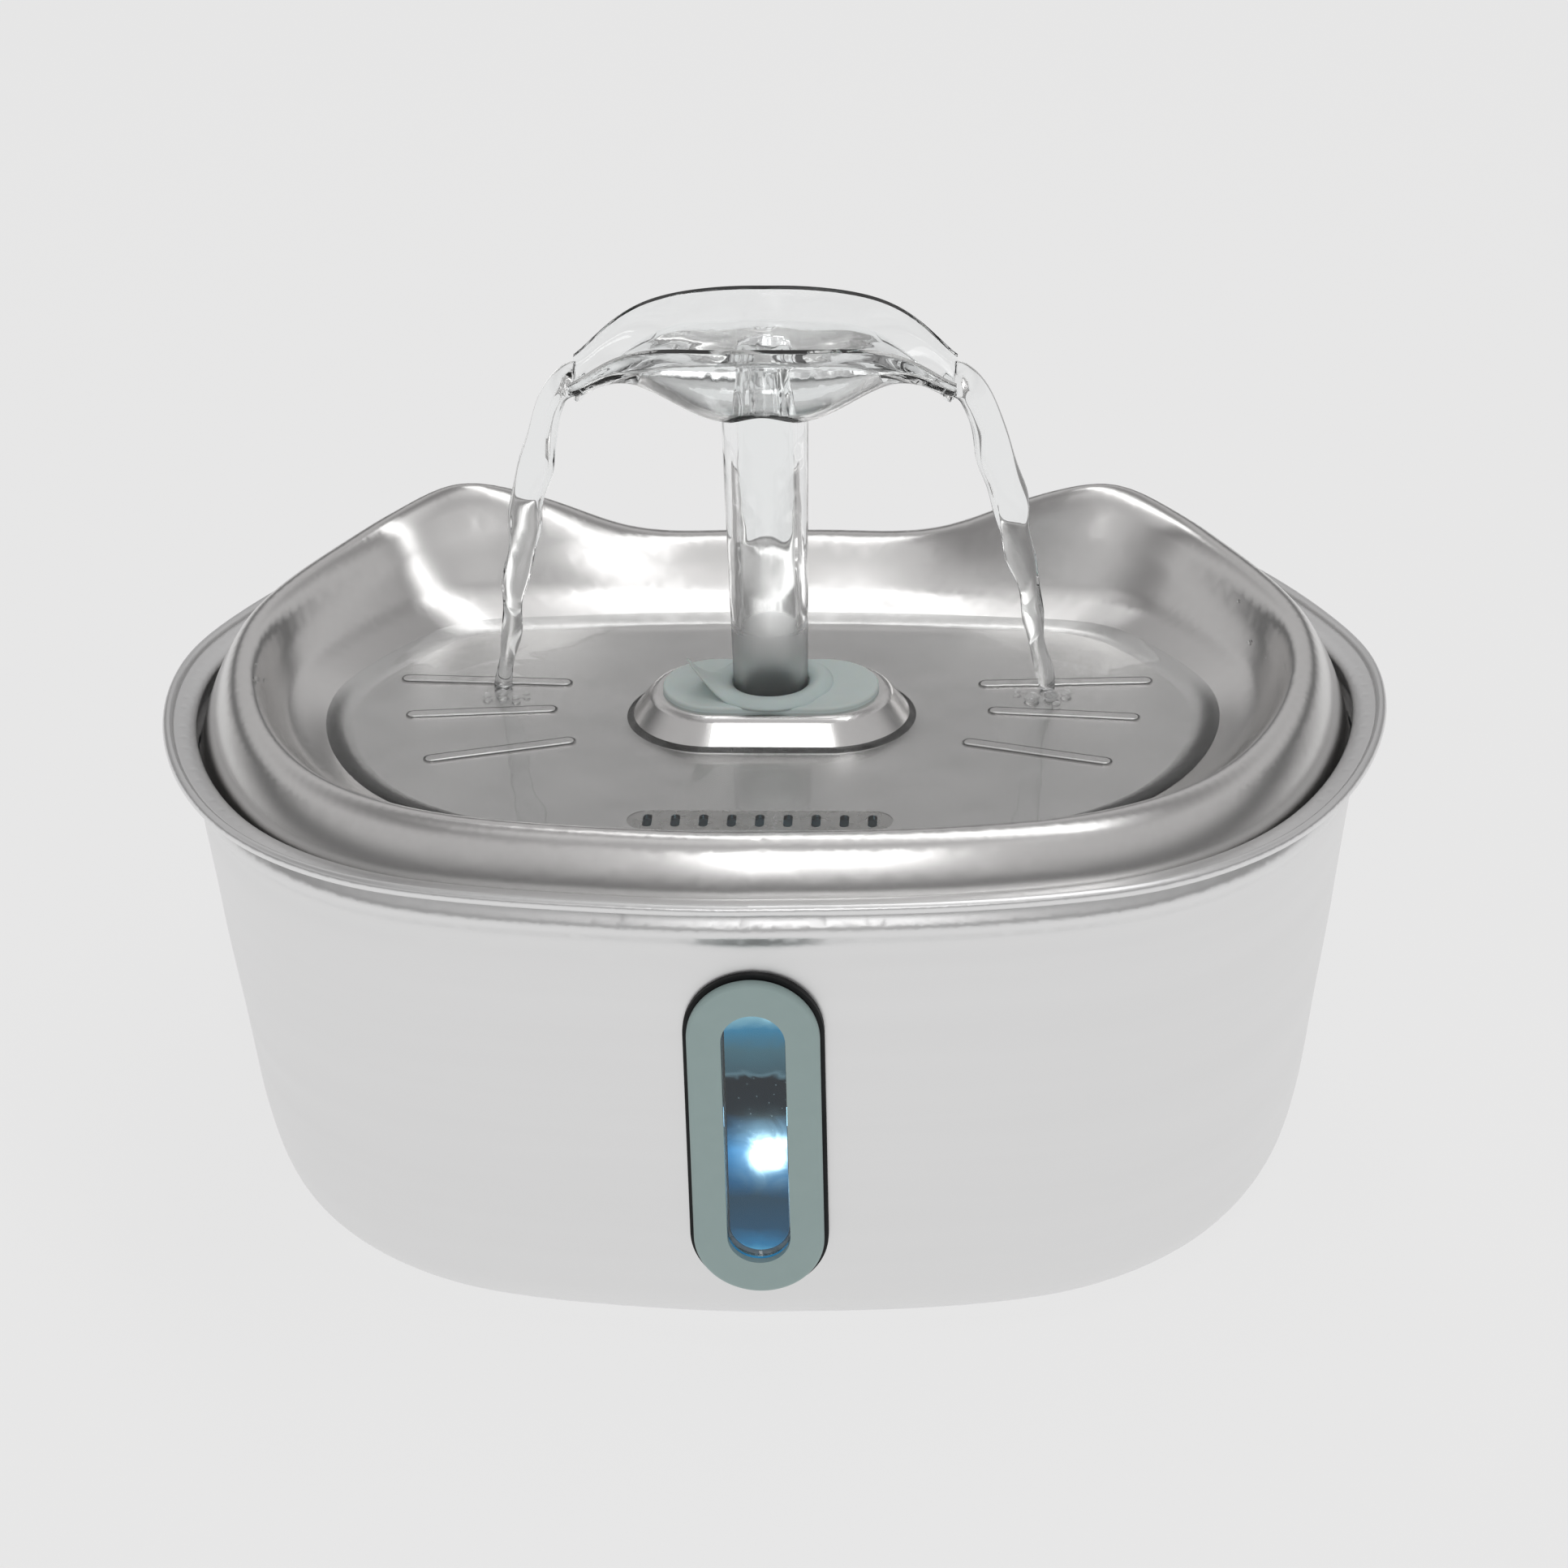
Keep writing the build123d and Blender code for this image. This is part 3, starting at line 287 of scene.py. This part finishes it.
# ---- Pump ----
# Submerged pump: moulded black ABS case and cover, stator potted in glossy epoxy, ferrite rotor on a ground
# ceramic shaft, and a blue-white lamp on its own small board. It stands on four cups and is hidden in use.
case_abs = finish_material("black_abs", "#141618", "#1d2023", (0.4, 0.52), 0.35, 0.005)
dress(["pump_housing", "outlet_nozzle", "pump_cover", "flow_knob"], case_abs)
dress(["pump_potting"], finish_material("epoxy", "#0a0b0c", "#121416", (0.08, 0.16), 4.0, 0.02))
dress(["stator_core"], finish_material("silicon_steel", "#6d6e70", "#55565a", (0.35, 0.5), 0.5, 0.02,
                                       (0.1, 1, 0.1), Metallic=1.0))
dress(["stator_coil"], finish_material("enamelled_copper", "#b4622e", "#8f4620", (0.22, 0.32), 0.25, 0.04,
                                       (1, 0.15, 1), Metallic=1.0))
dress(["rotor_magnet"], finish_material("ferrite", "#2b2b2d", "#1d1d1f", (0.5, 0.65), 0.3, 0.01))
dress(["motor_shaft"], finish_material("alumina", "#f1efe9", "#e8e5de", (0.15, 0.22), 0.3, 0.001))
dress(["light_board"], finish_material("solder_mask", "#0f4a2a", "#0b3b22", (0.3, 0.42), 0.4, 0.01))


def lamp_material():
    """Water-clear epoxy lamp that glows blue white."""
    made, tree, out = blank("lamp_epoxy")
    where = place_mm(tree)
    cloud = node(tree, "ShaderNodeTexNoise", {"Scale": 0.6}, {0: (where, 0)})
    tint = node(tree, "ShaderNodeMix", {"data_type": "RGBA", 6: linear("#bfe9ff"), 7: linear("#7fc8ff")},
                {0: (cloud, 0)})
    shader = node(tree, "ShaderNodeBsdfPrincipled", {"Roughness": 0.08, "Emission Strength": 2.5},
                  {"Emission Color": (tint, 2), "Base Color": (tint, 2)})
    tree.links.new(shader.outputs[0], out.inputs[0])
    return made


dress(["light_lens"], lamp_material())

# ---- Tray ----
# Pressed 0.8 mm stainless tray with two ear corners, fine bead blasted: a smooth satin that still shows
# broad soft highlights, a little brighter than the tank's belt grain.
blasted_steel = finish_material("blasted_stainless", "#e0dfde", "#dcdbda", (0.24, 0.255), 0.14, 0.00012,
                                Metallic=1.0)
dress(["drinking_tray"], blasted_steel)

# ---- Filter ----
# White perforated case on the riser: coconut carbon, ion-exchange resin and a needled polyester sheet.
# It hangs under the tray, so it only shows when the tray is lifted.
dress(["carbon_pack"], finish_material("coconut_carbon", "#08080a", "#1a1a1c", (0.6, 0.85), 1.2, 0.5))
dress(["resin_pack"], finish_material("resin_beads", "#c98a3a", "#9c5f22", (0.3, 0.45), 0.8, 0.3))
dress(["cotton_sheet"], finish_material("needled_polyester", "#efeee9", "#e0dfd9", (0.85, 0.95), 0.5, 0.2))

# ---- Seal ----
# Soft silicone pad in the boss, with a thin skirt round the spout that has lifted at its left side.
silicone = finish_material("teal_silicone", "#dce6e4", "#d3dedb", (0.38, 0.5), 0.8, 0.02,
                           Subsurface_Weight=0.15, Subsurface_Scale=0.004)
dress(["tray_seal"], silicone)

seal_low, seal_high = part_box("tray_seal")
axis_x = (seal_low.x + seal_high.x) / 2
axis_y = (seal_low.y + seal_high.y) / 2
pad_top = seal_high.z


def seal_skirt():
    """Ring of thin silicone, wavy, with one corner curled up into a point."""
    tube_radius, thickness = 0.0079, 0.00055
    width, flap_width, flap_rise = 0.0046, 0.0052, 0.0075
    flap_angle, flap_spread = math.radians(197), 0.30
    rings, around = 9, 96
    points = []
    for layer in (0.0, -thickness):
        for ring in range(rings):
            share = ring / (rings - 1)
            for step in range(around):
                angle = 2 * math.pi * step / around
                turn = (angle - flap_angle + math.pi) % (2 * math.pi) - math.pi
                flap = math.exp(-((turn / flap_spread) ** 2))
                wave = noise.noise(Vector((2.2 * math.cos(angle), 2.2 * math.sin(angle), 0.7)))
                reach = width + 0.0007 * wave + flap_width * flap
                radius = tube_radius + reach * share
                rise = 0.0006 + 0.0009 * math.sin(math.pi * min(1.0, share * 1.1)) + 0.0004 * wave * share
                rise += flap_rise * flap * share ** 2.2
                flat = max(0.0, share - 0.8) * 0.0028 * (1 - flap)
                points.append((axis_x + radius * math.cos(angle), axis_y + radius * 0.98 * math.sin(angle),
                               pad_top + rise - flat + layer))
    faces = []
    size = rings * around
    for ring in range(rings - 1):
        for step in range(around):
            a, b = ring * around + step, ring * around + (step + 1) % around
            faces.append((a, a + around, b + around, b))
            faces.append((size + a, size + b, size + b + around, size + a + around))
    for step in range(around):
        a, b = step, (step + 1) % around
        faces.append((a, b, size + b, size + a))
        c, d = (rings - 1) * around + step, (rings - 1) * around + (step + 1) % around
        faces.append((c, size + c, size + d, d))
    made = mesh_object("seal_skirt", points, faces, silicone)
    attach(made, "tray")


seal_skirt()


# ---- Spout ----
# Clear acrylic moulding: tapered tube and a boat-shaped head whose two lips pour the streams.
# Its lowest part is ground matt where it plugs into the seal.
def acrylic_material(matt_below):
    """Clear acrylic, frosted under a height in metres."""
    made, tree, out = blank("clear_acrylic")
    spot = node(tree, "ShaderNodeTexCoord")
    split = node(tree, "ShaderNodeSeparateXYZ", {}, {0: (spot, "Object")})
    frost = node(tree, "ShaderNodeMapRange", {"From Min": matt_below + 0.0015, "From Max": matt_below,
                                              "To Min": 0.0, "To Max": 0.36}, {"Value": (split, 2)})
    where = place_mm(tree)
    flow = node(tree, "ShaderNodeTexNoise", {"Scale": 0.09, "Detail": 1.0}, {0: (where, 0)})
    relief = node(tree, "ShaderNodeBump", {"Strength": 1.0, "Distance": 0.0004}, {"Height": (flow, 0)})
    shader = node(tree, "ShaderNodeBsdfPrincipled", {"Base Color": linear("#fcfdfd"), "IOR": 1.49,
                                                     "Transmission Weight": 1.0},
                  {"Roughness": (frost, 0), "Normal": (relief, 0)})
    tree.links.new(shader.outputs[0], out.inputs[0])
    return made


spout_low, spout_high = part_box("spout")
rim_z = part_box("tank_shell")[1].z
matt_height = 0.017  # top of the matt part above the rim
dress(["spout"], acrylic_material(rim_z + matt_height))

# ---- Water in the tray ----
# A shallow sheet 1.4 mm over the tray floor, rising a little where it wets the steel, with rings round the
# two streams. It is one open skin: the steel below closes it.
water = clear_material("water", "#fbfcfc", 1.333)
water_z = rim_z - 0.0026
landing = (0.056, 0.012)  # where a stream lands, from the spout's axis, to the side and back


def edge_points(z, around, outward):
    """Points where level rays from between boss and wall first meet the tray."""
    tray = BVHTree.FromObject(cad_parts["drinking_tray"], bpy.context.evaluated_depsgraph_get())
    half_length, half_width = 0.036, 0.023  # of the oval, just clear of the boss, that the rays start on
    spots = []
    for step in range(around):
        angle = 2 * math.pi * step / around
        start = Vector((axis_x + half_length * math.cos(angle), axis_y + half_width * math.sin(angle), z))
        way = Vector((math.cos(angle), 0.8 * math.sin(angle), 0)).normalized()
        hit = tray.ray_cast(start, way if outward else -way, 0.2)[0]
        spots.append(hit if hit else start + way * (0.04 if outward else -0.004))
    return spots


def tray_water():
    """Open skin between the boss and the tray's wall."""
    around, rings = 200, 56
    creep, creep_reach = 0.0003, 0.0012  # how far the water climbs the steel, and over what width
    outer = edge_points(water_z + creep, around, True)
    inner = edge_points(water_z + creep, around, False)
    points = []
    for ring in range(rings):
        share = ring / (rings - 1)
        for step in range(around):
            spot = inner[step].lerp(outer[step], share)
            edge = min((spot - inner[step]).length, (spot - outer[step]).length)
            z = water_z + creep * math.exp(-edge / creep_reach)
            calm = min(1.0, edge / 0.004)
            at = Vector((spot.x * 55, spot.y * 70, 0.3))
            z += 0.00010 * noise.noise(at) * calm + 0.00003 * noise.noise(at * 3.1) * calm
            for side in (-1, 1):
                away = math.hypot(spot.x - axis_x - side * landing[0], spot.y - axis_y - landing[1])
                z += 0.00012 * calm * math.cos(away * 1500) * math.exp(-away / 0.007)
            points.append((spot.x, spot.y, z))
    faces = []
    for ring in range(rings - 1):
        for step in range(around):
            a, b = ring * around + step, ring * around + (step + 1) % around
            faces.append((a, a + around, b + around, b))
    made = mesh_object("tray_water", points, faces, water)
    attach(made, "tray")


tray_water()


# ---- Water in the head ----
# Water wells up in the boat-shaped head, humps over the tube and thins out over the two lips.
# It fills the head down to its walls, so the clear moulding and the water read as one lens.
def head_water():
    """Closed body of water inside the head's walls."""
    head = BVHTree.FromObject(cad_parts["spout"], bpy.context.evaluated_depsgraph_get())
    half = (spout_high.x - spout_low.x) / 2
    along, across = 60, 22
    drop, lip_drop, flat_share = 0.0072, 0.0098, 0.42  # below the head's top, at the lips, level part
    hump, hump_width, gap = 0.0006, 0.010, 0.0001  # gap is between the water and the walls
    upper, lower = [], []
    for i in range(along + 1):
        x = -half + 2 * half * i / along
        share = abs(x) / half
        level = spout_high.z - drop - lip_drop * max(0.0, (share - flat_share) / (1 - flat_share)) ** 1.5
        level += hump * math.exp(-((x / hump_width) ** 2))
        start = Vector((axis_x + x, axis_y, level))
        reach = []
        for way in (-1, 1):
            hit = head.ray_cast(start, Vector((0, way, 0)), 0.03)[0]
            reach.append(abs(hit.y - axis_y) - gap if hit else 0.004)
        for j in range(across + 1):
            y = -reach[0] + (reach[0] + reach[1]) * j / across
            edge = min(j, across - j) / across * 2
            z = level + 0.0002 * (1 - min(1.0, edge * 4))
            z += 0.0003 * noise.noise(Vector((x * 160, y * 220, 0.1))) * min(1.0, edge * 3)
            upper.append((axis_x + x, axis_y + y, z))
            above = Vector((axis_x + x, axis_y + y, level - 0.0002))
            under = head.ray_cast(above, Vector((0, 0, -1)), 0.03)[0]
            floor = under.z + gap if under else level - 0.0012
            lower.append((axis_x + x, axis_y + y, min(z - 0.0002, max(floor, level - 0.0165))))
    points = upper + lower
    size, row = len(upper), across + 1
    faces = []
    for i in range(along):
        for j in range(across):
            a = i * row + j
            faces.append((a, a + row, a + row + 1, a + 1))
            faces.append((size + a, size + a + 1, size + a + row + 1, size + a + row))
    for i in range(along):
        for j in (0, across):
            a, b = i * row + j, (i + 1) * row + j
            faces.append((a, size + a, size + b, b) if j else (a, b, size + b, size + a))
    for j in range(across):
        for i in (0, along):
            a, b = i * row + j, i * row + j + 1
            faces.append((a, size + a, size + b, b) if i == 0 else (a, b, size + b, size + a))
    made = mesh_object("head_water", points, faces, water)
    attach(made, "spout")


head_water()


# ---- Streams ----
# One stream from each lip: it leaves as a flat ribbon, turns and thins as it falls, and necks into beads.
# Each reaches from the spout to the tray's water.
def stream(side):
    """Falling stream on one side; side is -1 or 1."""
    rows, around = 90, 18
    lip_x, lip_drop = 0.0375, 0.0145
    start = Vector((axis_x + side * lip_x, axis_y, spout_high.z - lip_drop))
    end = Vector((axis_x + side * landing[0], axis_y + landing[1], water_z - 0.0003))
    points = []
    for row in range(rows + 1):
        fall = (row / rows) ** 1.25
        out = math.sqrt(fall) * 0.82 + 0.18 * fall
        centre = Vector((start.x + (end.x - start.x) * out, start.y + (end.y - start.y) * fall,
                         start.z + (end.z - start.z) * fall))
        centre.x += side * 0.0003 * math.sin(fall * 21)
        wide = 0.0046 * (1 - fall) ** 1.6 + 0.0017  # half width, metres
        thick = 0.0013 + 0.0003 * math.sin(fall * 9) + 0.0002 * fall
        if fall < 0.03:
            thick *= 0.5 + 0.5 * fall / 0.03
        neck = 1 + 0.16 * math.sin(fall * 34 + side) * fall
        turn = side * (0.2 + 2.4 * fall)
        after = fall + 0.01
        slope = Vector(((end.x - start.x) * (math.sqrt(after) - math.sqrt(fall)), (end.y - start.y) * 0.01,
                        (end.z - start.z) * 0.01)).normalized()
        first = Vector((0, 1, 0)).cross(slope).normalized()
        second = slope.cross(first).normalized()
        for step in range(around):
            angle = 2 * math.pi * step / around
            a, b = thick * neck * math.cos(angle), wide * neck * math.sin(angle)
            u = a * math.cos(turn) - b * math.sin(turn)
            v = a * math.sin(turn) + b * math.cos(turn)
            points.append(centre + first * u + second * v)
    faces = [tuple(range(around - 1, -1, -1)), tuple(range(rows * around, (rows + 1) * around))]
    for row in range(rows):
        for step in range(around):
            a, b = row * around + step, row * around + (step + 1) % around
            faces.append((a, b, b + around, a + around))
    name = "stream_left" if side < 0 else "stream_right"
    made = mesh_object(name, points, faces, water)
    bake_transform(made)


stream(-1)
stream(1)


# ---- Bubbles and drops ----
# Air bubbles where the streams strike, and a few beads of water thrown on the steel.
# Each is a low dome whose foot is sunk just under the surface it sits on.
def dome(points, faces, place, radius, flat):
    """Adds a low dome of water to a mesh's lists."""
    first = len(points)
    around, rows = 14, 5
    for row in range(rows):
        lift = math.pi / 2 * row / rows
        for step in range(around):
            angle = 2 * math.pi * step / around
            points.append((place[0] + radius * math.cos(lift) * math.cos(angle),
                           place[1] + radius * math.cos(lift) * math.sin(angle),
                           place[2] + flat * radius * math.sin(lift)))
    points.append((place[0], place[1], place[2] + flat * radius))
    for row in range(rows - 1):
        for step in range(around):
            a, b = first + row * around + step, first + row * around + (step + 1) % around
            faces.append((a, b, b + around, a + around))
    last = first + (rows - 1) * around
    for step in range(around):
        faces.append((last + step, last + (step + 1) % around, first + rows * around))


def bubbles():
    """Domes on the water, round each landing."""
    points, faces = [], []
    left = ((0, -4, 1.3), (3, -6, 0.9), (-3, -5, 1.0), (5, -4, 0.7))  # x, y from the landing and radius, mm
    right = ((1, -4, 1.5), (4, -3, 1.2), (-3, -5, 1.6), (-6, -2, 0.8), (2, -8, 0.9))
    sunk, flat = 0.0001, 0.75
    for side, spots in ((-1, left), (1, right)):
        for x, y, size in spots:
            place = (axis_x + side * landing[0] + x / 1000, axis_y + landing[1] + y / 1000, water_z - sunk)
            dome(points, faces, place, size / 1000, flat)
    made = mesh_object("bubbles", points, faces, water)
    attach(made, "tray")


def drops():
    """Beads on the tray's front crest and inner wall."""
    points, faces = [], []
    tray = BVHTree.FromObject(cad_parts["drinking_tray"], bpy.context.evaluated_depsgraph_get())
    spots = ((34, -60, 0.7), (41, -61, 0.4), (23, -61, 0.35), (-76, -50, 0.6), (-79, -48, 0.35),
             (98, 20, 0.7), (101, 12, 0.4), (-104, -8, 0.9), (-103, -4, 0.6), (-105, -2, 0.5), (96, 31, 0.5),
             (104, 2, 0.4))  # x, y and radius, mm
    above, sunk, flat = 0.2, 0.00015, 0.8
    for x, y, size in spots:
        hit = tray.ray_cast(Vector((x / 1000, axis_y + y / 1000, above)), Vector((0, 0, -1)), above)[0]
        if hit:
            dome(points, faces, (hit.x, hit.y, hit.z - sunk), size / 1000, flat)
    made = mesh_object("drops", points, faces, water)
    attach(made, "tray")


bubbles()
drops()


# ---- Studio ----
# A lit matt opal table under one wide soft source, so shadows are faint and the tank reflects an even floor.
# A strip overhead lights the tray's front crest and a box in front lights its rear wall.
def sweep():
    """Lit opal table top."""
    opal = finish_material("opal_acrylic", "#6c6b6b", "#6a6969", (0.85, 0.95), 3.0, 0.01,
                           Specular_IOR_Level=0.0, Emission_Color=linear("#ffffff"), Emission_Strength=0.715)
    half = 8.0
    corners = [(-half, -half, 0), (half, -half, 0), (half, half, 0), (-half, half, 0)]
    mesh_object("studio_floor", corners, [(0, 1, 2, 3)], opal, smooth=False)


sweep()


def sky():
    """World light by height: a dark band low down, bright above it, dimmer towards the top."""
    world = bpy.data.worlds.new("studio")
    bpy.context.scene.world = world
    world.use_nodes = True
    tree = world.node_tree
    tree.nodes.clear()
    way = node(tree, "ShaderNodeTexCoord")
    split = node(tree, "ShaderNodeSeparateXYZ", {}, {0: (way, "Generated")})
    ramp = node(tree, "ShaderNodeValToRGB", {}, {0: (split, 2)})
    stops = ((0.0, "#c8c7c7"), (0.10, "#b0afaf"), (0.2, "#4c4c4c"), (0.30, "#5c5c5c"), (0.42, "#c6c5c5"),
             (0.6, "#c9c8c8"), (0.85, "#7c7b7b"), (1.0, "#b8b7b7"))
    while len(ramp.color_ramp.elements) < len(stops):
        ramp.color_ramp.elements.new(1.0)
    for element, (at, code) in zip(ramp.color_ramp.elements, stops):
        element.position = at
        element.color = linear(code)
    light = node(tree, "ShaderNodeBackground", {"Strength": 1.0}, {0: (ramp, 0)})
    node(tree, "ShaderNodeOutputWorld", {}, {0: (light, 0)})


sky()


def lamp(name, kind, place, aim, power, **shape):
    """Studio light aimed at a point."""
    data = bpy.data.lights.new(name, kind)
    data.energy = power
    for key, value in shape.items():
        setattr(data, key, value)
    made = bpy.data.objects.new(name, data)
    made.location = place
    made.rotation_euler = (Vector(aim) - Vector(place)).to_track_quat("-Z", "Y").to_euler()
    bpy.context.collection.objects.link(made)


# Name, kind, place, aim and power, each soft enough to give no hard edge in the steel.
lamp("wide_sun", "SUN", (0.3, -0.6, 2.0), (0, 0, 0), 0.22, angle=math.radians(60))
lamp("top_strip", "AREA", (0.2, 0.12, 1.2), (0, 0.0, 0.1), 2.2, shape="RECTANGLE", size=1.5, size_y=0.26)
lamp("front_box", "AREA", (0.02, -1.15, 0.85), (0, 0.05, 0.1), 1.1, shape="RECTANGLE", size=0.36, size_y=0.24)

view = bpy.context.scene.view_settings
view.view_transform = "Standard"
view.look = "None"


def camera():
    """A 101 mm lens 0.9 m from the middle of the rim, 27.5 degrees down."""
    azimuth, elevation, roll = math.radians(3.36), math.radians(27.5), math.radians(-1.3)
    distance, slide, lift = 0.9, 0.00259, -0.01702
    back = Vector((math.sin(azimuth) * math.cos(elevation), -math.cos(azimuth) * math.cos(elevation),
                   math.sin(elevation)))
    right = Vector((math.cos(azimuth), math.sin(azimuth), 0))
    up = back.cross(right)
    side = math.cos(roll) * right + math.sin(roll) * up
    top = -math.sin(roll) * right + math.cos(roll) * up
    data = bpy.data.cameras.new("camera")
    data.lens = 101.4
    data.sensor_width = 36
    made = bpy.data.objects.new("camera", data)
    place = Vector((axis_x, axis_y, rim_z)) + distance * back + slide * side + lift * top
    made.matrix_world = Matrix.Translation(place) @ Matrix((side, top, back)).transposed().to_4x4()
    bpy.context.collection.objects.link(made)
    bpy.context.scene.camera = made


camera()
